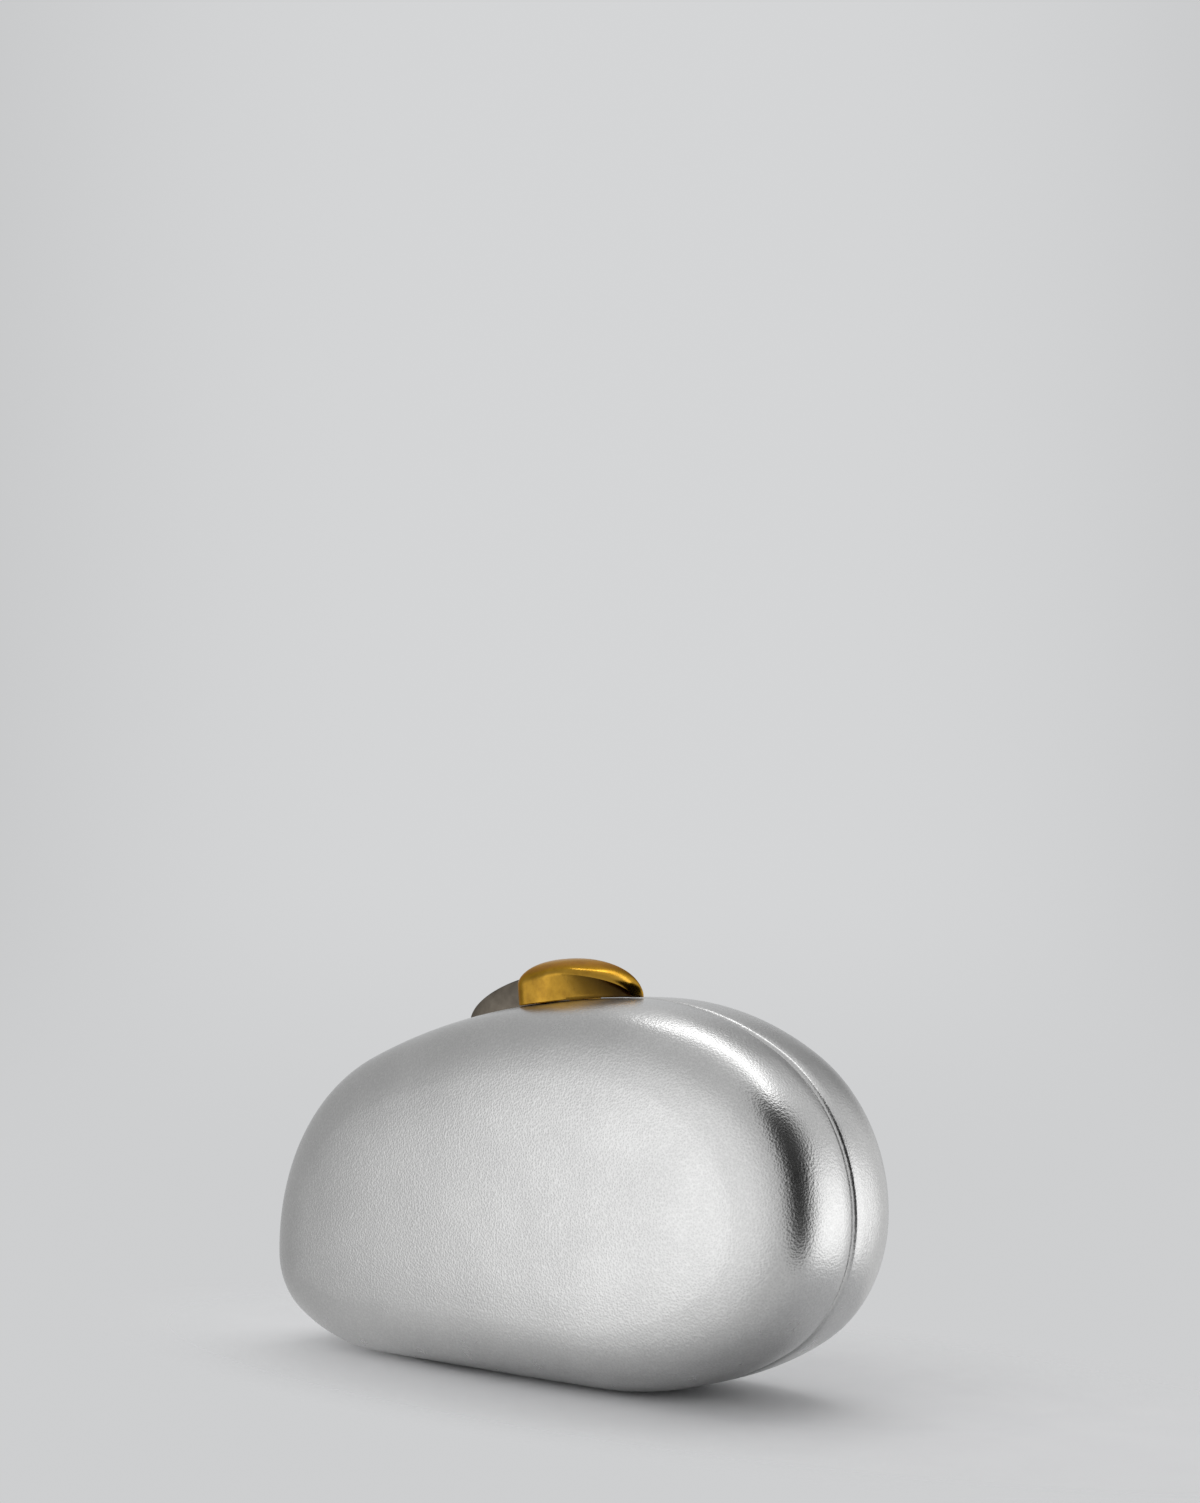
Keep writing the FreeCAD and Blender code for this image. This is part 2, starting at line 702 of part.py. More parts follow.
gold_place = on_top(gold_x, False)
gunmetal_place = on_top(gunmetal_x, True)
gold_spring_place = on_top(gold_spring_x, False)
gunmetal_spring_place = on_top(gunmetal_spring_x, True)
spring_spot = (ZERO, boss_y)
spring_grip = d.spring_thickness - spring_top - frame_inset
keeper_spot = (ZERO, d.keeper_reach + d.keeper_rivet_reach)

gold_slot = slot_tool("gold_slot", gold_place)
gunmetal_slot = slot_tool("gunmetal_slot", gunmetal_place)
front_spring_hole = small_hole("front_spring_hole", spring_spot, gold_spring_place)
back_spring_hole = small_hole("back_spring_hole", spring_spot, gunmetal_spring_place)
keeper_hole = small_hole("keeper_hole", keeper_spot, gold_place)

# Full solids of the front half, one inside another, and the layers between them
outer_blank = case_blank("case_outer", ZERO, rim)
shell_blank = case_blank("shell_outer", shell_inset, rim + shell_inset)
cavity_blank = case_blank("shell_cavity", shell_inner, ZERO)
lining_blank = case_blank("lining_outer", frame_inset, frame_back + d.lining_clearance)
inside_blank = case_blank("lining_cavity", frame_inset + d.lining_thickness, ZERO)
frame_blank, _ = outline_prism("frame_outer", frame_inset, rim, frame_back)
frame_window, _ = outline_prism("frame_window", frame_inner, ZERO, frame_back + d.lining_clearance)
leather_layer = cut("leather_layer", outer_blank, [shell_blank, cavity_blank, relief, hinge_slot])
shell_layer = cut("shell_layer", shell_blank, [cavity_blank, relief, hinge_slot])
frame_layer = cut("frame_layer", frame_blank, [frame_window, hinge_slot])

# Base hinge: rivet places on the front leaf, mirrored for the back
leaf_low_y = -(rim + d.leaf_width)
leaf_edge_y = -barrel_room
rivet_y = (leaf_low_y + leaf_edge_y) / 2
rivet_count = int(float(d.rivet_count))
rivet_xs = [d.hinge_x + d.rivet_pitch * (index - (rivet_count - 1) / 2) for index in range(rivet_count)]


def hinge_rivets(name, side):
    rivets = []
    for index, x in enumerate(rivet_xs, 1):
        shank = cylinder(f"{name}_shank_{index}", (x, rivet_y * side, frame_inset), d.rivet_radius,
                         d.frame_thickness + d.leaf_thickness)
        head = cone(f"{name}_head_{index}", (x, rivet_y * side, leaf_top), d.rivet_head_radius,
                    d.rivet_head_radius * HEAD_TAPER, d.rivet_head_height)
        rivets.append(fuse(f"{name}_{index}", [shank, head]))
    return group(name, rivets)


def hinge_rivet_holes(name, side):
    return [cylinder(f"{name}_hole_{index}", (x, rivet_y * side, frame_inset),
                     d.rivet_radius + d.fastener_clearance, d.frame_thickness + d.leaf_thickness)
            for index, x in enumerate(rivet_xs, 1)]


def hinge_leaf(name, side, first, bore_clearance):
    """A leaf on the frame's base strip, with every second knuckle of the barrel from first on."""
    def across(low, high):
        return (low, high) if side > 0 else (-high, -low)

    low, high = across(leaf_low_y, leaf_edge_y)
    parts = [box(f"{name}_plate", (hinge_low, low, frame_inner), (hinge_high, high, leaf_top))]
    knuckle_count = int(float(d.knuckle_count))
    pitch = d.hinge_length / knuckle_count
    for index in range(first, knuckle_count, 2):
        start = hinge_low + pitch * index + (d.knuckle_gap / 2 if index else ZERO)
        end = hinge_low + pitch * (index + 1) - (d.knuckle_gap / 2 if index < knuckle_count - 1 else ZERO)
        low, high = across(leaf_low_y, ZERO)
        parts.append(box(f"{name}_web_{index}", (start, low, frame_inner), (end, high, leaf_top)))
        parts.append(cylinder(f"{name}_knuckle_{index}", (start, 0, axis_z), barrel_radius,
                              end - start, "x"))
    bore = cylinder(f"{name}_bore", (hinge_low, 0, axis_z), d.pin_radius + bore_clearance,
                    d.hinge_length, "x")
    return cut(name, fuse(f"{name}_blank", parts), [bore] + hinge_rivet_holes(name, side))


front_lining = cut("front_lining", lining_blank, [inside_blank])
front_nodes = [
    cut("front_leather", leather_layer, [gold_slot]),
    cut("front_shell", shell_layer, [gold_slot]),
    cut("front_frame", frame_layer, [gold_slot, front_spring_hole] + hinge_rivet_holes("front_frame", 1)),
    front_lining,
    hinge_leaf("front_hinge_leaf", 1, 1, d.pin_running_clearance),
    hinge_rivets("front_hinge_rivets", 1),
    spring_piece("front_return_spring", gold_spring_place),
    small_rivet("front_spring_rivet", spring_spot, spring_top - d.spring_thickness, spring_grip,
                gold_spring_place),
]

back_nodes = [
    cut("back_leather", mirrored("back_leather_layer", leather_layer), [gunmetal_slot]),
    cut("back_shell", mirrored("back_shell_layer", shell_layer), [gunmetal_slot]),
    cut("back_frame", mirrored("back_frame_layer", frame_layer),
        [gunmetal_slot, back_spring_hole, keeper_hole] + hinge_rivet_holes("back_frame", -1)),
    mirrored("back_lining", front_lining),
    hinge_leaf("back_hinge_leaf", -1, 0, d.pin_seat_clearance),
    hinge_rivets("back_hinge_rivets", -1),
    cylinder("hinge_pin", (hinge_low, 0, axis_z), d.pin_radius, d.hinge_length, "x"),
    spring_piece("back_return_spring", gunmetal_spring_place),
    small_rivet("back_spring_rivet", spring_spot, spring_top - d.spring_thickness, spring_grip,
                gunmetal_spring_place),
]

# The keeper under the back frame: a plate with a lip that hangs down beside the seam
keeper_low = keeper_top - d.keeper_thickness
keeper_half = d.catch_width / 2
keeper_end = d.keeper_reach + d.keeper_length
keeper_plate = box("keeper_plate", (-keeper_half, d.keeper_reach, keeper_low),
                   (keeper_half, keeper_end, keeper_top))
keeper_lip = box("keeper_lip", (-keeper_half, d.keeper_reach, keeper_low - d.keeper_lip),
                 (keeper_half, d.keeper_reach + d.keeper_thickness, keeper_low))
keeper_bore = cylinder("keeper_bore", (*keeper_spot, keeper_low),
                       d.small_rivet_radius + d.fastener_clearance, d.keeper_thickness)
keeper_nodes = [
    put(cut("keeper", fuse("keeper_blank", [keeper_plate, keeper_lip]), [keeper_bore]), gold_place),
    small_rivet("keeper_rivet", keeper_spot, keeper_low,
                d.keeper_thickness + d.seat_gap + d.frame_thickness, gold_place),
]

# The catch under the front slider: a spring strip across the seam, turned up behind the keeper's lip
catch_low = slider_low - d.spring_thickness
catch_strip = box("catch_strip", (-keeper_half, boss_y - d.slider_width / 2, catch_low),
                  (keeper_half, d.catch_reach, slider_low))
catch_nose = box("catch_nose", (-keeper_half, d.catch_reach - d.spring_thickness, slider_low),
                 (keeper_half, d.catch_reach, slider_low + d.catch_hook))

clasp_nodes = [
    clasp_piece("gold_clasp", gold_place, d.gold_length, d.gold_height, d.gold_end_height),
    slider_piece("gold_slider", gold_place),
    screw_pieces("gold_screws", gold_place),
    put(fuse("catch_spring", [catch_strip, catch_nose]), gold_place),
    clasp_piece("gunmetal_clasp", gunmetal_place, d.gunmetal_length, d.gunmetal_height,
                d.gunmetal_end_height),
    slider_piece("gunmetal_slider", gunmetal_place),
    screw_pieces("gunmetal_screws", gunmetal_place),
]

nodes = front_nodes + back_nodes + keeper_nodes + clasp_nodes
doc.recompute()

for item in doc.Objects:
    if "Invalid" in item.State or "Error" in item.State:
        raise RuntimeError(f"{item.Label}: {item.State}")
for node in nodes:
    if node.Shape.isNull() or not node.Shape.isValid() or not node.Shape.Solids:
        raise RuntimeError(f"{node.Label}: no valid solid")

os.makedirs("parts", exist_ok=True)
for node in nodes:
    node.Shape.exportStep(f"parts/{node.Label}.step")
    print(f"{node.Label}: {len(node.Shape.Solids)} solid(s), {node.Shape.Volume:.1f} mm3")
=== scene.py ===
import math
import bmesh
import bpy
import numpy as np
from mathutils import Matrix, Vector


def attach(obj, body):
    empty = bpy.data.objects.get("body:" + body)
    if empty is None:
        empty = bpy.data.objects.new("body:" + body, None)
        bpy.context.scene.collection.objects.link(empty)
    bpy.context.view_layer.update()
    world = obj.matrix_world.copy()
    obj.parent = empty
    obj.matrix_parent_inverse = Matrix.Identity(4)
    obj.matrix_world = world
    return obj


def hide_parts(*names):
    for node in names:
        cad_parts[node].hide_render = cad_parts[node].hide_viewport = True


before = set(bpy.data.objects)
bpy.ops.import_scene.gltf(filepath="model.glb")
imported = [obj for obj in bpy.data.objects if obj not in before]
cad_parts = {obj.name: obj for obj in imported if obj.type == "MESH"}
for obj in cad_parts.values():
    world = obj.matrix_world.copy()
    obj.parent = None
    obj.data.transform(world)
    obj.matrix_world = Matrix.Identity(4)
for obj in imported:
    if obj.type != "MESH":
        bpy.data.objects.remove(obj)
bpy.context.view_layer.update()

# A hard-case evening clutch: two leather-covered half shells hinged along the base, with a split
# pebble clasp on top. The shapes are in millimetres until they become meshes, in metres; materials,
# lights, floor and the places of lamps and camera are in metres.
MM = 0.001

# Outline of the case seen from the front: each corner is two arcs, and the base is flat
CASE_WIDTH = 184.0
CASE_HEIGHT = 96.5
TOP_X = 27.0
RIGHT_Z = 46.5
LEFT_Z = 24.5
BASE_LEFT = -54.5
BASE_RIGHT = 25.0
RIGHT_TOP_RADIUS = 44.5
LEFT_TOP_RADIUS = 60.0
RIGHT_BOTTOM_RADIUS = 38.5
LEFT_BOTTOM_RADIUS = 20.0

# Depth of one half, its crowned face, and the superellipse of its shoulder
HALF_DEPTH = 31.0
CROWN_RADIUS = 800.0
SHOULDER = 40.0
SHOULDER_POWER = 3.6

# Layers of the wall, as insets from the outline, and the rims beside the seam
LEATHER = (0.0, 1.0)
SHELL = (1.1, 3.1)
LINING = (3.2, 4.0)
LEATHER_RIM = 0.15
LEATHER_TURN_IN = 3.1
SHELL_RIM = 1.25
LINING_RIM = 7.45
LEATHER_EDGE = 1.4
CLOTH_EDGE = 0.2

# Openings in the base for the hinge, and in the top for the clasp's bosses
AXIS_Z = 3.2
RELIEF_ANGLE = math.radians(29.0)
HINGE_SLOT = ((-50.3, 20.3), (-2.6, 2.6), (-5.0, 5.4))
BOSS_LENGTH = 8.0
BOSS_WIDTH = 3.0
BOSS_Y = -3.7
BOSS_LOW = -4.9
BOSS_TOP = 1.0
SLOT_TOP = 8.0
SLOT_CLEARANCE = 0.3
CLASP_TRAVEL = 2.5

# Clasp halves in their own frame: x along the case's top, z up, parted at y = 0
GOLD_X = 9.8
GUNMETAL_X = -19.0
CLASP_PARTING = 0.25
CLASP_DEPTH = 13.0
CLASP_TIP_DEPTH = 1.2
CLASP_PEAK_REACH = 9.0

# Side view of a half: the power of the curve to its tall end. Plan: where it starts to turn back, as
# a share of half its length, the power of that curve, the roundings of both ends, and the least
# share of the depth, squared, left at the tip
END_POWER = 2.6
PLAN_TURN = -0.3
PLAN_POWER = 1.5
END_ROUND = 4.5
TIP_ROUND = 1.6
TIP_LEAST = 0.04

# The cap over the face: its least height at the peak, how far from the tip its crease ends, the angle
# it starts at, the share of its height that the crease has at the tall end, and the share of half the
# length where the crease is fully up
CAP_BAND = 3.5
CAP_TIP = 1.2
CAP_START = 0.1
CAP_DROP = 0.62
CAP_RISE_END = 0.1

# The face below the cap: where its undercut grows, as shares of half the length, its run-out before
# the tip, its limit as a share of the depth, the curve's power, and the crease's margins in height
UNDERCUT_SPAN = (-0.5, 0.35)
UNDERCUT_RUN_OUT = 4.0
UNDERCUT_LIMIT = 0.5
FACE_POWER = 1.6
CREASE_MARGIN_LOW = 0.15
CREASE_MARGIN_HIGH = 0.2

# Bevels of a half, their limits as shares of its height and depth, and its gap above the leather
PARTING_BEVEL = 0.4
PARTING_BEVEL_SHARE = 0.25
FOOT_BEVEL = 0.3
FOOT_BEVEL_SHARE = 0.2
FOOT_GAP = 0.25

# How finely things are drawn
OUTLINE_SPACING = 1.3
FINE_SPACING = 0.25
ARC_LEAST = 3
EDGE_STEPS = 5
WALL_RINGS = 34
FACE_RINGS = 16
SMOOTHING = 12
FOOT_STEPS = 8
FACE_STEPS = 14
CAP_STEPS = 18
BEVEL_STEPS = 4
END_STATIONS = 14
FIRST_STATION_TURN = 0.12
MIDDLE_STATIONS = 56
SHARP_ANGLE = math.radians(40)


class Corner:
    """Arc radii of an outline corner, and the angle where its two arcs meet."""

    def __init__(self, side, rise, radius):
        self.radius = radius
        self.flat = (side ** 2 + rise ** 2 - 2 * side * radius) / (2 * (rise - radius))
        self.turn = math.atan2(self.flat - rise, side - radius)


HALF_WIDTH = CASE_WIDTH / 2
RIGHT_TOP = Corner(HALF_WIDTH - TOP_X, CASE_HEIGHT - RIGHT_Z, RIGHT_TOP_RADIUS)
LEFT_TOP = Corner(HALF_WIDTH + TOP_X, CASE_HEIGHT - LEFT_Z, LEFT_TOP_RADIUS)
LEFT_BOTTOM = Corner(HALF_WIDTH + BASE_LEFT, LEFT_Z, LEFT_BOTTOM_RADIUS)
RIGHT_BOTTOM = Corner(HALF_WIDTH - BASE_RIGHT, RIGHT_Z, RIGHT_BOTTOM_RADIUS)


def arc_points(centre, radius, start, end, spacing):
    count = max(ARC_LEAST, round(abs(end - start) * radius / spacing))
    angles = np.linspace(start, end, count, endpoint=False)
    normals = np.stack([np.cos(angles), np.sin(angles)], 1)
    return np.array(centre) + radius * normals, normals


def outline(spacing):
    """Points of the outline (x, z), anticlockwise from the right, with their outward normals."""
    pi = math.pi
    rt, lt, lb, rb = RIGHT_TOP, LEFT_TOP, LEFT_BOTTOM, RIGHT_BOTTOM
    runs = [
        arc_points((HALF_WIDTH - rt.radius, RIGHT_Z), rt.radius, 0, rt.turn, spacing),
        arc_points((TOP_X, CASE_HEIGHT - rt.flat), rt.flat, rt.turn, pi / 2, spacing),
        arc_points((TOP_X, CASE_HEIGHT - lt.flat), lt.flat, pi / 2, pi - lt.turn, spacing),
        arc_points((lt.radius - HALF_WIDTH, LEFT_Z), lt.radius, pi - lt.turn, pi, spacing),
        arc_points((lb.radius - HALF_WIDTH, LEFT_Z), lb.radius, pi, pi + lb.turn, spacing),
        arc_points((BASE_LEFT, lb.flat), lb.flat, pi + lb.turn, 1.5 * pi, spacing),
    ]
    count = round((BASE_RIGHT - BASE_LEFT) / spacing)
    base_x = np.linspace(BASE_LEFT, BASE_RIGHT, count, endpoint=False)
    runs.append((np.stack([base_x, 0 * base_x], 1), np.tile([0.0, -1.0], (count, 1))))
    runs.append(arc_points((BASE_RIGHT, rb.flat), rb.flat, 1.5 * pi, 2 * pi - rb.turn, spacing))
    runs.append(arc_points((HALF_WIDTH - rb.radius, RIGHT_Z), rb.radius, 2 * pi - rb.turn, 2 * pi,
                           spacing))
    return np.concatenate([run[0] for run in runs]), np.concatenate([run[1] for run in runs])


RIM_POINTS, RIM_NORMALS = outline(OUTLINE_SPACING)
FINE_POINTS, _ = outline(FINE_SPACING)


def distance_in(points):
    """Distance of each (x, z) point from the outline."""
    gaps = [np.linalg.norm(FINE_POINTS - point, axis=1).min() for point in points]
    return np.array(gaps)


def dome(points, depth):
    """Depth of the crowned face over each (x, z) point."""
    return depth - (points[:, 0] ** 2 + (points[:, 1] - CASE_HEIGHT / 2) ** 2) / (2 * CROWN_RADIUS)


# The skin follows the outline's normals up to this inset, and closes on a middle point inside it
NORMAL_INSET = 17.0
FACE_MIDDLE = np.array([5.0, 47.0])


def skin_rings(inset, start_depth):
    """Rings of one skin of a half, from start_depth beside the seam to the middle of the face."""
    depth, shoulder = HALF_DEPTH - inset, SHOULDER - inset
    power = SHOULDER_POWER
    start = math.asin(min(1.0, (start_depth / depth) ** (power / 2)))
    end = math.acos((1 - (NORMAL_INSET - inset) / shoulder) ** (power / 2))
    rings = []
    for turn in np.linspace(start, end, WALL_RINGS):
        move = inset + shoulder * (1 - math.cos(turn) ** (2 / power))
        points = RIM_POINTS - RIM_NORMALS * move
        height = math.sin(turn) ** (2 / power) * dome(points, depth)
        rings.append(np.stack([points[:, 0], height, points[:, 1]], 1))
    edge = rings[-1][:, [0, 2]]
    heights = []
    flats = []
    for share in np.linspace(1, 0, FACE_RINGS + 1)[1:-1]:
        points = FACE_MIDDLE + (edge - FACE_MIDDLE) * share
        run = np.clip((distance_in(points) - inset) / shoulder, 0, 1)
        swell = (1 - (1 - run) ** power) ** (1 / power)
        flats.append(points)
        heights.append(swell * dome(points, depth))
    grid = np.array([rings[-1][:, 1]] + heights)
    for _ in range(SMOOTHING):
        around = (np.roll(grid, 1, 1) + np.roll(grid, -1, 1)) / 2
        inward = np.concatenate([grid[2:], grid[-1:]])
        grid[1:] = grid[1:] / 2 + (around[1:] + (grid[:-1] + inward) / 2) / 4
    for points, height in zip(flats, grid[1:]):
        rings.append(np.stack([points[:, 0], height, points[:, 1]], 1))
    return rings


def ring_at(move, depth):
    """A level ring, moved in from the outline."""
    points = RIM_POINTS - RIM_NORMALS * move
    return np.stack([points[:, 0], np.full(len(points), depth), points[:, 1]], 1)


def edge_rings(inset, rim, radius):
    """A rounded edge from the rim's face out to the wall."""
    turns = np.linspace(0, math.pi / 2, EDGE_STEPS, endpoint=False)
    return [ring_at(inset + radius * (1 - math.sin(turn)), rim + radius * (1 - math.cos(turn)))
            for turn in turns]


def mesh_object(name, points, faces, material):
    mesh = bpy.data.meshes.new(name)
    mesh.from_pydata((np.array(points) * MM).tolist(), [], faces)
    model = bmesh.new()
    model.from_mesh(mesh)
    bmesh.ops.recalc_face_normals(model, faces=model.faces)
    model.to_mesh(mesh)
    model.free()
    mesh.materials.append(material)
    mesh.shade_smooth()
    item = bpy.data.objects.new(name, mesh)
    bpy.context.scene.collection.objects.link(item)
    return item


def tube_faces(rings, count):
    """Four-sided faces between closed rings of count points each."""
    faces = []
    for ring in range(rings - 1):
        first, second = ring * count, (ring + 1) * count
        for index in range(count):
            after = (index + 1) % count
            faces.append((first + index, first + after, second + after, second + index))
    return faces


def half_solid(name, side, layers, rim, turn_in, edge, material):
    """A closed wall between two skins of a half; side is -1 for the front and 1 for the back."""
    outer, inner = layers
    wall = inner - outer
    rings = skin_rings(outer, rim + edge)[::-1]
    rings += edge_rings(outer, rim, edge)[::-1]
    rings += [ring_at(turn_in, rim), ring_at(turn_in, rim + wall), ring_at(inner, rim + wall)]
    rings += skin_rings(inner, rim + wall + CLOTH_EDGE)
    count = len(RIM_POINTS)
    poles = np.array([[FACE_MIDDLE[0], HALF_DEPTH - skin, FACE_MIDDLE[1]] for skin in (outer, inner)])
    points = np.concatenate(rings + [poles])
    points[:, 2] = np.maximum(points[:, 2], 0)
    points[:, 1] *= side
    faces = tube_faces(len(rings), count)
    first_pole = len(rings) * count
    last = (len(rings) - 1) * count
    for index in range(count):
        after = (index + 1) % count
        faces.append((first_pole, after, index))
        faces.append((first_pole + 1, last + index, last + after))
    return mesh_object(name, points, faces, material)


def box_points(spans):
    return [(x, y, z) for x in spans[0] for y in spans[1] for z in spans[2]]


BOX_FACES = [(0, 1, 3, 2), (4, 6, 7, 5), (0, 4, 5, 1), (2, 3, 7, 6), (0, 2, 6, 4), (1, 5, 7, 3)]
WEDGE_FACES = [(0, 1, 2), (3, 5, 4), (0, 3, 4, 1), (1, 4, 5, 2), (2, 5, 3, 0)]


def top_place(x, turned):
    """Matrix from a clasp half's own frame to the case's top, in millimetres."""
    slope = math.asin((TOP_X - x) / LEFT_TOP.flat)
    height = CASE_HEIGHT - LEFT_TOP.flat * (1 - math.cos(slope))
    place = Matrix.Translation((x, 0, height)) @ Matrix.Rotation(-slope, 4, "Y")
    return place @ Matrix.Rotation(math.pi if turned else 0, 4, "Z")


def placed(points, place):
    return [tuple(place @ Vector(point)) for point in points]


def boolean(item, tool, operation):
    """Cut or join a piece with a tool, which is then deleted."""
    step = item.modifiers.new("shape", "BOOLEAN")
    step.operation = operation
    step.solver = "EXACT"
    step.object = tool
    bpy.context.view_layer.update()
    evaluated = item.evaluated_get(bpy.context.evaluated_depsgraph_get())
    mesh = bpy.data.meshes.new_from_object(evaluated)
    item.modifiers.clear()
    item.data = mesh
    bpy.data.objects.remove(tool)


def cut_openings(item, place):
    """Open a wall for the swing under the hinge's axis, for the hinge, and for a clasp's boss."""
    low = HINGE_SLOT[2][0]
    reach = (AXIS_Z - low) * math.tan(RELIEF_ANGLE)
    ends = (-CASE_WIDTH, CASE_WIDTH)
    relief = [(x, y, z) for x in ends for y, z in ((0, AXIS_Z), (-reach, low), (reach, low))]
    boolean(item, mesh_object("relief", relief, WEDGE_FACES, None), "DIFFERENCE")
    boolean(item, mesh_object("hinge_slot", box_points(HINGE_SLOT), BOX_FACES, None), "DIFFERENCE")
    side, reach = BOSS_LENGTH / 2 + SLOT_CLEARANCE, BOSS_WIDTH / 2 + SLOT_CLEARANCE
    slot = box_points(((-side, side + CLASP_TRAVEL), (BOSS_Y - reach, BOSS_Y + reach),
                       (BOSS_LOW, SLOT_TOP)))
    boolean(item, mesh_object("boss_slot", placed(slot, place), BOX_FACES, None), "DIFFERENCE")


# The part of a noise texture's range that the materials use, and the sockets of a colour mix node
NOISE_RANGE = (0.3, 0.7)
MIX_FACTOR, MIX_FIRST, MIX_SECOND = 0, 6, 7
MIX_RESULT = 2


class Shader:
    """A material whose nodes are added one by one, each with its inputs set or linked."""

    def __init__(self, name):
        self.material = bpy.data.materials.new(name)
        self.material.use_nodes = True
        self.tree = self.material.node_tree
        self.surface = self.tree.nodes["Principled BSDF"]

    def feed(self, node, inputs):
        for name, value in inputs.items():
            if isinstance(value, bpy.types.NodeSocket):
                self.tree.links.new(value, node.inputs[name])
            else:
                node.inputs[name].default_value = value

    def add(self, kind, inputs=None, **settings):
        node = self.tree.nodes.new(kind)
        for name, value in settings.items():
            setattr(node, name, value)
        self.feed(node, inputs or {})
        return node

    def place(self, stretch=(1, 1, 1), shift=(0, 0, 0)):
        source = self.add("ShaderNodeTexCoord").outputs["Object"]
        node = self.add("ShaderNodeMapping", {"Vector": source, "Scale": stretch, "Location": shift})
        return node.outputs["Vector"]

    def along(self, axis):
        """Position along one axis of the case."""
        return self.add("ShaderNodeSeparateXYZ", {"Vector": self.place()}).outputs[axis]

    def noise(self, scale, detail, stretch=(1, 1, 1), roughness=0.5):
        node = self.add("ShaderNodeTexNoise", {"Vector": self.place(stretch), "Scale": scale,
                                               "Detail": detail, "Roughness": roughness})
        return node.outputs["Fac"]

    def cells(self, scale, smoothness):
        node = self.add("ShaderNodeTexVoronoi", {"Vector": self.place(), "Scale": scale,
                                                 "Smoothness": smoothness}, feature="SMOOTH_F1")
        return node.outputs["Distance"]

    def span(self, value, low, high, to_low=0.0, to_high=1.0):
        node = self.add("ShaderNodeMapRange", {"Value": value, "From Min": low, "From Max": high,
                                               "To Min": to_low, "To Max": to_high})
        return node.outputs["Result"]

    def math(self, operation, first, second):
        node = self.add("ShaderNodeMath", operation=operation)
        for socket, value in zip(node.inputs, (first, second)):
            if isinstance(value, bpy.types.NodeSocket):
                self.tree.links.new(value, socket)
            else:
                socket.default_value = value
        return node.outputs["Value"]

    def blend(self, first, first_share, second, second_share):
        """Two values added, each times its share."""
        return self.math("ADD", self.math("MULTIPLY", first, first_share),
                         self.math("MULTIPLY", second, second_share))

    def colours(self, value, *stops):
        """A colour ramp with its stops, each a position and a colour."""
        node = self.add("ShaderNodeValToRGB", {"Fac": value})
        ramp = node.color_ramp.elements
        for element, (position, colour) in zip((ramp[0], ramp[1]), stops):
            element.position, element.color = position, (*colour, 1)
        for position, colour in stops[2:]:
            ramp.new(position).color = (*colour, 1)
        return node.outputs["Color"]

    def two_tones(self, value, dark, light):
        low, high = NOISE_RANGE
        return self.colours(value, (low, dark), (high, light))

    def bump(self, height, distance, strength, normal=None):
        inputs = {"Height": height, "Distance": distance, "Strength": strength}
        if normal is not None:
            inputs["Normal"] = normal
        return self.add("ShaderNodeBump", inputs).outputs["Normal"]

    def finish(self, **inputs):
        """Set or link the surface's inputs, named with _ for a blank."""
        self.feed(self.surface, {name.replace("_", " "): value for name, value in inputs.items()})
        return self.material


# Distances from the seam, in metres, over which the leather's creases fade out, how much they are
# drawn out across the wall, and the share of fine noise in the grain
CREASED_WALL = (0.002, 0.013)
CREASE_STRETCH = (1, 0.2, 1)
FINE_SHARE = 0.35


def silver_leather():
    """Metallic leather: fine pebbled grain, and short creases across the walls beside the seam."""
    s = Shader("silver_leather")
    grain = s.cells(scale=1800.0, smoothness=0.6)
    fine = s.noise(scale=3000.0, detail=3.0)
    pebble = s.math("ADD", grain, s.math("MULTIPLY", fine, FINE_SHARE))
    wall = s.span(s.math("ABSOLUTE", s.along("Y"), 0.0), *CREASED_WALL, 1.0, 0.0)
    creases = s.math("MULTIPLY", s.noise(scale=900.0, detail=3.0, stretch=CREASE_STRETCH), wall)
    normal = s.bump(creases, distance=0.00012, strength=0.35)
    normal = s.bump(pebble, distance=0.00008, strength=0.58, normal=normal)
    tone = s.blend(grain, 0.5, s.noise(scale=45.0, detail=4.0), 0.5)
    colour = s.colours(tone, (0.2, (0.49, 0.49, 0.488)), (0.75, (0.625, 0.625, 0.62)))
    rough = s.span(s.noise(scale=130.0, detail=4.0), *NOISE_RANGE, 0.27, 0.31)
    return s.finish(Base_Color=colour, Metallic=1.0, Roughness=rough, Normal=normal)


# Where painted shade browns the gold towards its tip, in the hollow under the cap, in metres along the
# case, and the upward part of its normal over which the painted shade ends at the cap
HOLLOW_SHADE_SPAN = (0.0085, 0.022)
HOLLOW_SHADE_RISE = (0.02, 0.2)


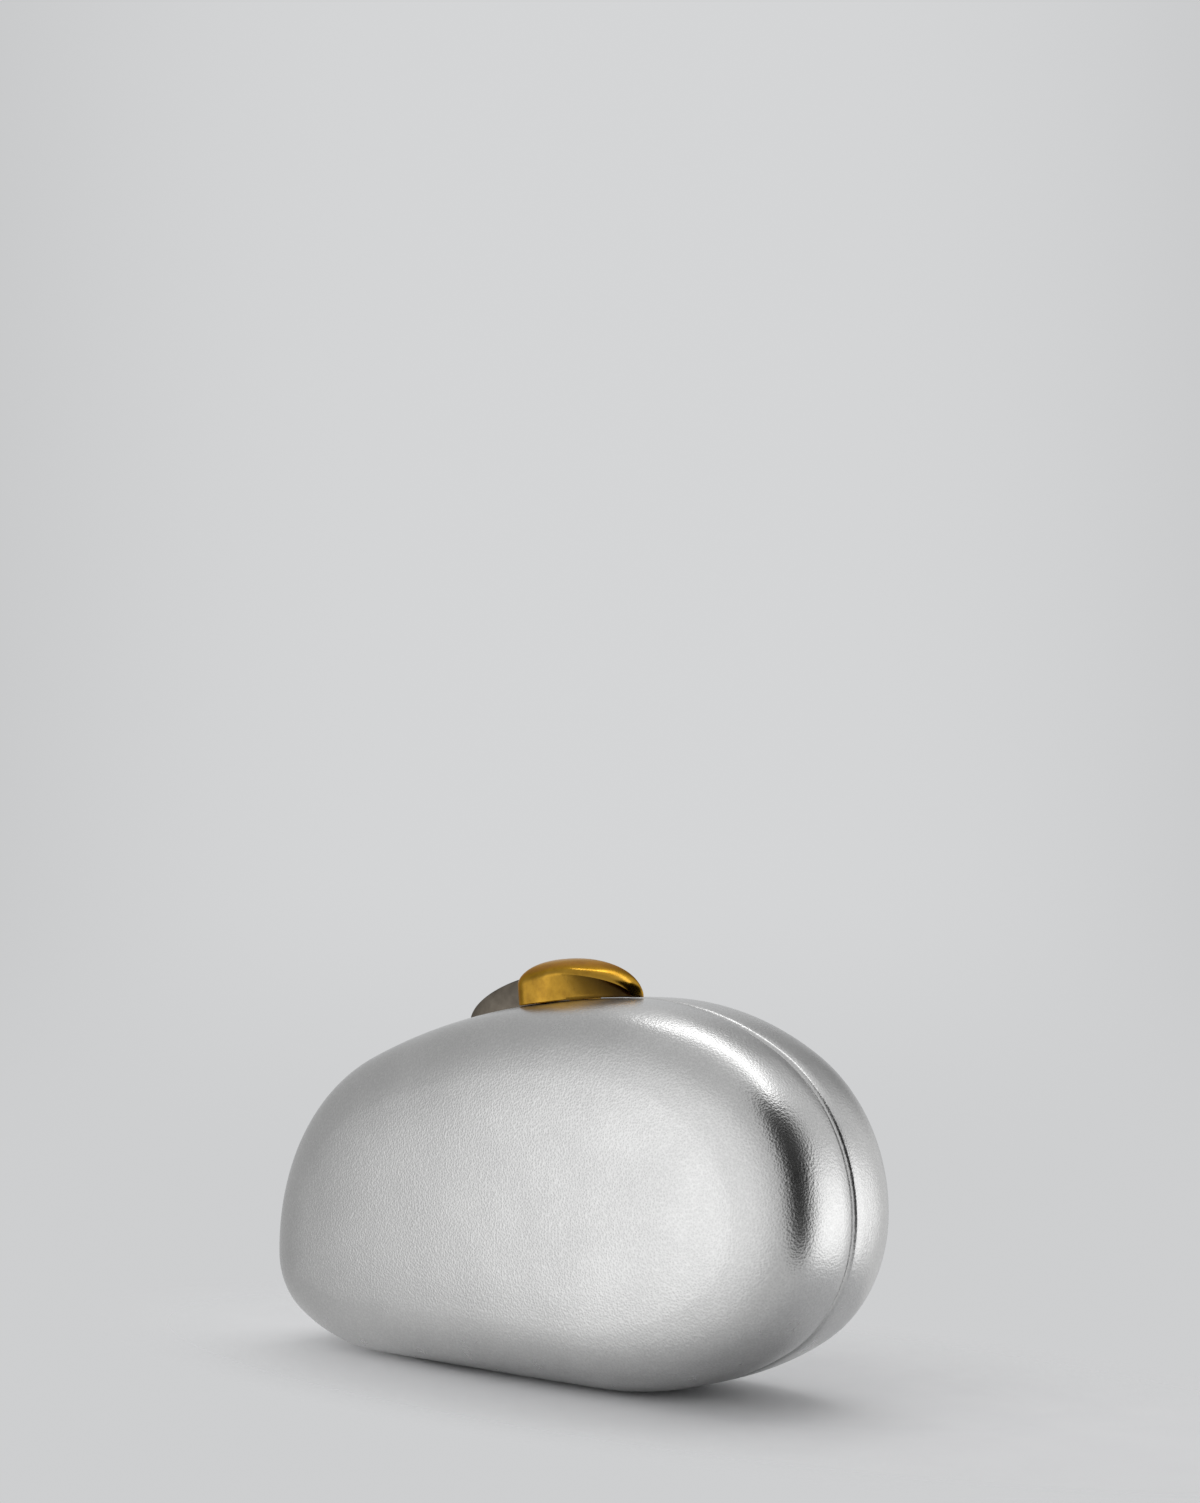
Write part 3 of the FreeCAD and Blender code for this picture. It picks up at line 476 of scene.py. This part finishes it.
def antique_gold():
    """Satin lacquered gold plating, with painted shade, a dark brown, in the hollow under the cap, and
    rubbed elsewhere.
    """
    s = Shader("antique_gold")
    age = s.noise(scale=260.0, detail=6.0, roughness=0.65)
    rubbed = s.colours(age, (0.34, (0.3, 0.158, 0.014)), (0.5, (0.37, 0.202, 0.019)),
                       (0.72, (0.43, 0.24, 0.028)))
    # Painted shade: the dark brown that stands for the shade in the hollow under the cap
    painted_shade_colour = s.colours(age, (0.35, (0.042, 0.02, 0.003)), (0.65, (0.085, 0.042, 0.006)))
    facing = s.add("ShaderNodeTexCoord").outputs["Normal"]
    upward = s.add("ShaderNodeSeparateXYZ", {"Vector": facing}).outputs["Z"]
    # Mask of the painted shade: towards the tip, on faces that turn down or sideways under the cap
    painted_shade_mask = s.math("MULTIPLY", s.span(s.along("X"), *HOLLOW_SHADE_SPAN),
                    s.span(upward, *HOLLOW_SHADE_RISE, 1.0, 0.0))
    speckled_painted_shade = s.math("ADD", painted_shade_mask, s.math("MULTIPLY", s.math("SUBTRACT", age, 0.5), painted_shade_mask))
    mix = s.add("ShaderNodeMix", data_type="RGBA", clamp_factor=True)
    for socket, value in ((MIX_FACTOR, speckled_painted_shade), (MIX_FIRST, rubbed), (MIX_SECOND, painted_shade_colour)):
        s.tree.links.new(value, mix.inputs[socket])
    rough = s.span(age, *NOISE_RANGE, 0.23, 0.15)
    normal = s.bump(s.noise(scale=1900.0, detail=3.0), distance=0.000012, strength=0.3)
    return s.finish(Base_Color=mix.outputs[MIX_RESULT], Metallic=1.0, Roughness=rough, Normal=normal,
                    Specular_Tint=(0.8, 0.52, 0.16, 1), Coat_Weight=0.2, Coat_Roughness=0.1)


def gunmetal():
    """Satin brownish plating."""
    s = Shader("gunmetal")
    age = s.noise(scale=190.0, detail=5.0, roughness=0.6)
    colour = s.two_tones(age, (0.1, 0.085, 0.068), (0.17, 0.148, 0.12))
    rough = s.span(age, *NOISE_RANGE, 0.4, 0.31)
    normal = s.bump(s.noise(scale=2000.0, detail=3.0), distance=0.00002, strength=0.45)
    return s.finish(Base_Color=colour, Metallic=1.0, Roughness=rough, Normal=normal)


BRUSHED_ROUGHNESS_SWING = 0.05


def brushed(name, dark, light, stretch, roughness):
    """A metal with fine brush lines along the axes that stretch makes smaller."""
    s = Shader(name)
    lines = s.noise(scale=900.0, detail=3.0, stretch=stretch)
    colour = s.two_tones(lines, dark, light)
    rough = s.span(lines, *NOISE_RANGE, roughness + BRUSHED_ROUGHNESS_SWING,
                   roughness - BRUSHED_ROUGHNESS_SWING)
    normal = s.bump(lines, distance=0.00002, strength=0.4)
    return s.finish(Base_Color=colour, Metallic=1.0, Roughness=rough, Normal=normal)


def shell_board():
    """Speckled dark board."""
    s = Shader("shell_board")
    speckle = s.noise(scale=700.0, detail=4.0)
    colour = s.two_tones(speckle, (0.13, 0.13, 0.14), (0.19, 0.19, 0.2))
    rough = s.span(speckle, *NOISE_RANGE, 0.55, 0.7)
    normal = s.bump(speckle, distance=0.00006, strength=0.5)
    return s.finish(Base_Color=colour, Roughness=rough, Normal=normal)


def lining_suede():
    """Napped cloth, with brushed patches that catch the light differently."""
    s = Shader("lining_suede")
    nap = s.noise(scale=2400.0, detail=4.0)
    patches = s.noise(scale=55.0, detail=3.0)
    tone = s.blend(nap, 0.6, patches, 0.4)
    colour = s.colours(tone, (0.35, (0.17, 0.165, 0.175)), (0.65, (0.29, 0.28, 0.29)))
    rough = s.span(patches, *NOISE_RANGE, 0.82, 0.95)
    normal = s.bump(nap, distance=0.00015, strength=0.8)
    return s.finish(Base_Color=colour, Roughness=rough, Normal=normal, Sheen_Weight=0.4,
                    Sheen_Roughness=0.4)


def smooth_step(value, low, high):
    share = min(1.0, max(0.0, (value - low) / (high - low)))
    return share * share * (3 - 2 * share)


def wall_fall(y):
    """How far the case's wall has come in from the outline at a distance from the seam."""
    share = 1 - (abs(y) / HALF_DEPTH) ** SHOULDER_POWER
    return SHOULDER * (1 - share ** (1 / SHOULDER_POWER))


class Pebble:
    """One clasp half: its length, its height at the peak and at the tall end, and its undercut."""

    def __init__(self, length, height, end_base, undercut):
        self.half, self.height, self.end_base, self.undercut = length / 2, height, end_base, undercut
        self.peak_x = CLASP_PEAK_REACH - self.half

    def top(self, x):
        """Height of the cap: a quarter ellipse down to the tip, a fuller curve to the tall end."""
        if x >= self.peak_x:
            share = (x - self.peak_x) / (self.half - self.peak_x)
            return self.height * math.sqrt(max(0.0, 1 - share ** 2))
        share = (self.peak_x - x) / CLASP_PEAK_REACH
        rise = max(0.0, 1 - share ** END_POWER) ** (1 / END_POWER)
        return self.end_base + (self.height - self.end_base) * rise

    def crease(self, x):
        """Height where the cap begins: low at the tall end, then a crease that runs down to the tip."""
        reach = self.half - self.peak_x - CAP_TIP
        share = min(1.0, max(0.0, (x - self.peak_x) / reach))
        rise = CAP_DROP + (1 - CAP_DROP) * smooth_step(x, -self.half, CAP_RISE_END * self.half)
        return (self.height - CAP_BAND) * math.sqrt(1 - share ** 2) * rise

    def depth(self, x):
        """Depth of the half along its length: full, then turning back to the tip."""
        share = min(1.0, max(0.0, (x - PLAN_TURN * self.half) / ((1 - PLAN_TURN) * self.half)))
        bow = max(0.0, 1 - share ** PLAN_POWER) ** (1 / PLAN_POWER)
        depth = CLASP_TIP_DEPTH + (CLASP_DEPTH - CLASP_TIP_DEPTH) * bow
        gap = x + self.half
        if gap < END_ROUND:
            depth -= END_ROUND - math.sqrt(END_ROUND ** 2 - (END_ROUND - gap) ** 2)
        if x > self.half - TIP_ROUND:
            gap = self.half - x
            depth *= math.sqrt(max(TIP_LEAST, 1 - (1 - gap / TIP_ROUND) ** 2))
        return depth

    def foot(self, x, y):
        """The underside follows the curved top of the case, a little above it."""
        return FOOT_GAP - x ** 2 / (2 * LEFT_TOP.flat) - wall_fall(y)

    def fade(self, x):
        """How far the undercut has grown from the tall end, as a share."""
        start, end = UNDERCUT_SPAN
        return smooth_step(x, start * self.half, end * self.half)

    def undercut_at(self, x, depth):
        undercut = self.undercut * self.fade(x) * smooth_step(self.half - x, 0.0, UNDERCUT_RUN_OUT)
        return min(undercut, UNDERCUT_LIMIT * depth)


def clasp_section(pebble, x):
    """Closed outline (y, z) of a clasp half at x: curved foot, undercut front, rounded cap."""
    depth = pebble.depth(x)
    front, back = -CLASP_PARTING - depth, -CLASP_PARTING
    undercut = pebble.undercut_at(x, depth)
    foot = pebble.foot(x, front + undercut)
    top = max(pebble.top(x), foot + 2 * FOOT_BEVEL)
    height = top - foot
    lowest, highest = foot + CREASE_MARGIN_LOW * height, top - CREASE_MARGIN_HIGH * height
    crease = min(max(pebble.crease(x), lowest), highest)
    bevel = min(PARTING_BEVEL, PARTING_BEVEL_SHARE * height, PARTING_BEVEL_SHARE * depth)
    low_bevel = min(FOOT_BEVEL, FOOT_BEVEL_SHARE * height, FOOT_BEVEL_SHARE * depth)
    under = np.linspace(back, front + undercut + low_bevel, FOOT_STEPS)
    points = [(y, pebble.foot(x, y)) for y in under]
    for step in np.linspace(0, 1, FACE_STEPS):
        z = foot + low_bevel + (crease - foot - low_bevel) * step
        points.append((front + undercut * (1 - step ** FACE_POWER), z))
    start = CAP_START * pebble.fade(x)
    for turn in np.linspace(start, math.pi / 2, CAP_STEPS)[1:]:
        run = 1 - math.cos(turn) / math.cos(start)
        rise = (math.sin(turn) - math.sin(start)) / (1 - math.sin(start))
        points.append((front + (depth - bevel) * run, crease + (top - crease) * rise))
    for turn in np.linspace(0, math.pi / 2, BEVEL_STEPS)[1:]:
        points.append((back - bevel + bevel * math.sin(turn), top - bevel + bevel * math.cos(turn)))
    return points


def clasp_stations(pebble):
    """Places along the length, closer together where the ends round off."""
    turns = np.linspace(FIRST_STATION_TURN, math.pi / 2, END_STATIONS)
    ends = [END_ROUND * (1 - math.cos(turn)) - pebble.half for turn in turns]
    tips = [pebble.half - 2 * TIP_ROUND * (1 - math.cos(turn)) for turn in turns]
    middle = np.linspace(ends[-1], tips[-1], MIDDLE_STATIONS)[1:-1]
    return ends + list(middle) + tips[::-1]


def clasp_half(name, pebble, place, material):
    """A clasp half with the boss below it that goes through the case's top."""
    sections = [[(x, y, z) for y, z in clasp_section(pebble, x)] for x in clasp_stations(pebble)]
    count = len(sections[0])
    points = [point for section in sections for point in section]
    faces = [tuple(range(count)), tuple(range(len(points) - count, len(points)))]
    faces += tube_faces(len(sections), count)
    item = mesh_object(name, placed(points, place), faces, material)
    side, reach = BOSS_LENGTH / 2, BOSS_WIDTH / 2
    boss = box_points(((-side, side), (BOSS_Y - reach, BOSS_Y + reach), (BOSS_LOW, BOSS_TOP)))
    boolean(item, mesh_object("boss", placed(boss, place), BOX_FACES, material), "UNION")
    item.data.set_sharp_from_angle(angle=SHARP_ANGLE)
    return item


leather, board, suede = silver_leather(), shell_board(), lining_suede()
gold, grey = antique_gold(), gunmetal()
steel = brushed("hinge_metal", dark=(0.46, 0.45, 0.44), light=(0.62, 0.61, 0.59),
                stretch=(0.08, 1, 1), roughness=0.33)
nickel = brushed("frame_metal", dark=(0.52, 0.51, 0.5), light=(0.68, 0.67, 0.65),
                 stretch=(0.3, 1, 0.3), roughness=0.3)
spring = brushed("spring_steel", dark=(0.36, 0.36, 0.39), light=(0.52, 0.52, 0.55),
                 stretch=(1, 0.1, 1), roughness=0.28)

gold_place = top_place(GOLD_X, False)
gunmetal_place = top_place(GUNMETAL_X, True)
for half, side, place in (("front", -1, gold_place), ("back", 1, gunmetal_place)):
    body = f"{half}_half"
    cover = half_solid(f"{half}_cover", side, LEATHER, LEATHER_RIM, LEATHER_TURN_IN, LEATHER_EDGE, leather)
    hard = half_solid(f"{half}_hard_shell", side, SHELL, SHELL_RIM, SHELL[1], CLOTH_EDGE, board)
    cloth = half_solid(f"{half}_lining_cloth", side, LINING, LINING_RIM, LINING[1], CLOTH_EDGE, suede)
    cut_openings(cover, place)
    cut_openings(hard, place)
    for item, node, slot in ((cover, f"{half}_leather", "silver_leather"),
                             (hard, f"{half}_shell", "shell_board"),
                             (cloth, f"{half}_lining", "lining_suede")):
        item.data.set_sharp_from_angle(angle=SHARP_ANGLE)
        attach(item, body)
        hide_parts(node)

GOLD_PEBBLE = Pebble(length=33.4, height=10.6, end_base=6.4, undercut=2.8)
GUNMETAL_PEBBLE = Pebble(length=32.0, height=7.8, end_base=4.2, undercut=1.8)
for name, pebble, place, material, slot in (
        ("gold", GOLD_PEBBLE, gold_place, gold, "antique_gold"),
        ("gunmetal", GUNMETAL_PEBBLE, gunmetal_place, grey, "gunmetal")):
    item = clasp_half(f"{name}_pebble", pebble, place, material)
    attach(item, f"{name}_half")
    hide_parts(f"{name}_clasp")

# The pieces inside keep their shapes and get these metals
NODE_MATERIALS = {
    nickel: ("front_frame", "back_frame", "keeper", "gold_slider", "gunmetal_slider"),
    steel: ("front_hinge_leaf", "back_hinge_leaf", "front_hinge_rivets", "back_hinge_rivets", "hinge_pin",
            "front_spring_rivet", "back_spring_rivet", "keeper_rivet", "gold_screws", "gunmetal_screws"),
    spring: ("front_return_spring", "back_return_spring", "catch_spring"),
}
for material, nodes in NODE_MATERIALS.items():
    for node in nodes:
        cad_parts[node].data.materials.clear()
        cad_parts[node].data.materials.append(material)


def direction(azimuth, elevation):
    """Unit vector at an azimuth from the front (-Y) towards the right, and an elevation, in degrees."""
    a, e = math.radians(azimuth), math.radians(elevation)
    return Vector((math.sin(a) * math.cos(e), -math.cos(a) * math.cos(e), math.sin(e)))


def cosine(degrees):
    return math.cos(math.radians(degrees))


# The room's even light, and the soft areas that brighten or darken it: azimuth, elevation, radius
# where the area is full, radius where it ends, and the strength added
ROOM = 0.81
ROOM_COLOUR = (0.995, 0.997, 1.0, 1)
ROOM_AREAS = (
    (-10, -3, 4, 56, 0.46), (-28, -7, 2, 25, 0.36), (-88, 9.6, 10, 64, -0.3),
    (84, 2, 14, 36, -0.8), (91, 36, 17, 35, -0.99), (127, -5, 8, 36, 0.95),
    (168, 66, 6, 30, 0.25), (192, 30, 5, 27, -0.5), (0, 70, 10, 54, -0.1), (0, -67, 10, 71, -0.1),
)

# The backdrop's tone; its middle, and the angles from there over which it falls to a share; the
# heights of a ray over which it takes an even share below the horizon; and the cosines between which
# mirrored rays begin to show it
BACKDROP = (0.662, 0.668, 0.676)
BACKDROP_AZIMUTH = -138.5
BACKDROP_FALL = (1, 14, 0.86)
FLOOR_TONE = (-0.01, -0.12, 0.93)
BACKDROP_REACH = (0.86, 0.94)

# Softboxes overhead, behind the case: azimuth, elevation, width, height and radiance
SOFTBOX_TARGET = Vector((0, 0, 0.05))
SOFTBOX_DISTANCE = 1.2
SOFTBOXES = ((164, 67, 1.06, 0.2, 2.15), (226, 67, 0.36, 0.1, 5.0))


def softbox(azimuth, elevation, width, height, radiance):
    lamp = bpy.data.lights.new("softbox", "AREA")
    lamp.shape = "RECTANGLE"
    lamp.size, lamp.size_y = width, height
    lamp.energy = radiance * math.pi * width * height
    item = bpy.data.objects.new("softbox", lamp)
    toward = direction(azimuth, elevation)
    item.location = SOFTBOX_TARGET + toward * SOFTBOX_DISTANCE
    item.rotation_euler = toward.to_track_quat("Z", "Y").to_euler()
    bpy.context.scene.collection.objects.link(item)


for lamp_sizes in SOFTBOXES:
    softbox(*lamp_sizes)


class WorldLight:
    """World nodes, added one by one."""

    def __init__(self):
        self.world = bpy.data.worlds.new("studio")
        bpy.context.scene.world = self.world
        self.world.use_nodes = True
        self.tree = self.world.node_tree
        self.tree.nodes.clear()
        self.ray = self.add("ShaderNodeTexCoord").outputs["Generated"]

    def add(self, kind, *inputs, **settings):
        """A node with its settings, and its inputs by place."""
        node = self.tree.nodes.new(kind)
        for name, value in settings.items():
            setattr(node, name, value)
        for socket, value in zip(node.inputs, inputs):
            if isinstance(value, bpy.types.NodeSocket):
                self.tree.links.new(value, socket)
            else:
                socket.default_value = value
        return node

    def ramp(self, value, low, high, to_low, to_high):
        """A smooth step from to_low to to_high as the value goes from low to high."""
        node = self.add("ShaderNodeMapRange", value, low, high, to_low, to_high,
                        interpolation_type="SMOOTHSTEP")
        return node.outputs["Result"]

    def toward(self, ray, target):
        """Cosine between a ray and a target direction."""
        return self.add("ShaderNodeVectorMath", ray, target, operation="DOT_PRODUCT").outputs["Value"]

    def math(self, operation, first, second):
        return self.add("ShaderNodeMath", first, second, operation=operation).outputs["Value"]

    def area(self, azimuth, elevation, inner, outer, strength):
        facing = self.toward(self.ray, direction(azimuth, elevation))
        return self.ramp(facing, cosine(outer), cosine(inner), 0.0, strength)


def studio_world():
    """An even room with brighter and darker areas, and a pale backdrop where the camera looks."""
    light = WorldLight()
    strength = ROOM
    for area in ROOM_AREAS:
        strength = light.math("ADD", strength, light.area(*area))
    strength = light.math("MAXIMUM", strength, 0.0)
    room = light.add("ShaderNodeBackground", ROOM_COLOUR, strength)
    inner, outer, edge = BACKDROP_FALL
    parts = light.add("ShaderNodeSeparateXYZ", light.ray).outputs
    level = light.add("ShaderNodeCombineXYZ", parts["X"], parts["Y"]).outputs["Vector"]
    level = light.add("ShaderNodeVectorMath", level, operation="NORMALIZE").outputs["Vector"]
    middle = direction(BACKDROP_AZIMUTH, 0)
    fall = light.ramp(light.toward(level, middle), cosine(outer), cosine(inner), edge, 1.0)
    high, low, tone = FLOOR_TONE
    down = light.ramp(parts["Z"], low, high, 1.0, 0.0)
    rest = light.math("MULTIPLY", down, light.math("SUBTRACT", tone, fall))
    backdrop = light.add("ShaderNodeBackground", (*BACKDROP, 1), light.math("ADD", fall, rest))
    path = light.add("ShaderNodeLightPath").outputs
    shown = light.math("MAXIMUM", path["Is Glossy Ray"], path["Is Transmission Ray"])
    near = light.ramp(light.toward(light.ray, middle), *BACKDROP_REACH, 0.0, 1.0)
    seen = light.math("MAXIMUM", path["Is Camera Ray"], light.math("MULTIPLY", shown, near))
    mix = light.add("ShaderNodeMixShader", seen, room.outputs["Background"], backdrop.outputs["Background"])
    light.add("ShaderNodeOutputWorld", mix.outputs["Shader"])


studio_world()

# The floor lies just below the part. It is solid within an oval round the case, made by stretching and
# shifting its coordinates; the fades are the distances in these where it starts to turn clear and
# where it is clear, to the camera and in reflections
FLOOR_RADIUS = 3.0
FLOOR_SEGMENTS = 96
FLOOR_DROP = 0.0001
FLOOR_STRETCH = (0.42, 1, 1)
FLOOR_SHIFT = (-0.012, -0.02, 0)
SEEN_FADE = (0.042, 0.093)
MIRRORED_FADE = (0.043, 0.066)


def floor_material():
    """Pale floor that keeps the shadow near the object and runs into the backdrop further off."""
    s = Shader("pale_floor")
    speckle = s.noise(scale=60.0, detail=4.0)
    colour = s.two_tones(speckle, (0.825, 0.828, 0.84), (0.85, 0.853, 0.862))
    s.finish(Base_Color=colour, Roughness=0.7, Specular_IOR_Level=0.2)
    length = s.add("ShaderNodeVectorMath", operation="LENGTH")
    s.tree.links.new(s.place(FLOOR_STRETCH, FLOOR_SHIFT), length.inputs[0])
    away = length.outputs["Value"]
    path = s.add("ShaderNodeLightPath").outputs
    seen = s.math("MULTIPLY", s.span(away, *SEEN_FADE), path["Is Camera Ray"])
    mirrored = s.math("MULTIPLY", s.span(away, *MIRRORED_FADE), path["Is Glossy Ray"])
    clear = s.add("ShaderNodeBsdfTransparent")
    mix = s.add("ShaderNodeMixShader", {"Fac": s.math("MAXIMUM", seen, mirrored)})
    s.tree.links.new(s.surface.outputs["BSDF"], mix.inputs[1])
    s.tree.links.new(clear.outputs["BSDF"], mix.inputs[2])
    s.tree.links.new(mix.outputs["Shader"], s.tree.nodes["Material Output"].inputs["Surface"])
    return s.material


def floor():
    model = bmesh.new()
    bmesh.ops.create_circle(model, cap_ends=True, segments=FLOOR_SEGMENTS, radius=FLOOR_RADIUS)
    mesh = bpy.data.meshes.new("floor")
    model.to_mesh(mesh)
    model.free()
    mesh.materials.append(floor_material())
    item = bpy.data.objects.new("floor", mesh)
    item.location.z = -FLOOR_DROP
    bpy.context.scene.collection.objects.link(item)


floor()

# Camera at the photograph's viewing angle, turned a little from its target; its picture is 1200 by
# 1503 pixels
PICTURE_HEIGHT = 1503
FOCAL_PIXELS = 3000.0
SENSOR = 36.0
CLIP_START = 0.01
CAMERA_TARGET = Vector((0, 0, 0.055))
CAMERA_DISTANCE = 0.7757
CAMERA_AZIMUTH = 42.46
CAMERA_ELEVATION = 6.11
CAMERA_YAW = -0.638
CAMERA_PITCH = -7.69


def camera():
    data = bpy.data.cameras.new("camera")
    data.sensor_width = SENSOR
    data.lens = FOCAL_PIXELS * SENSOR / PICTURE_HEIGHT
    data.clip_start = CLIP_START
    item = bpy.data.objects.new("camera", data)
    back = direction(CAMERA_AZIMUTH + CAMERA_YAW, CAMERA_ELEVATION + CAMERA_PITCH)
    right = Vector((0, 0, 1)).cross(back).normalized()
    turn = Matrix((right, back.cross(right), back)).transposed().to_4x4()
    place = CAMERA_TARGET + direction(CAMERA_AZIMUTH, CAMERA_ELEVATION) * CAMERA_DISTANCE
    item.matrix_world = Matrix.Translation(place) @ turn
    bpy.context.scene.collection.objects.link(item)
    bpy.context.scene.camera = item


camera()
bpy.context.scene.view_settings.view_transform = "Standard"
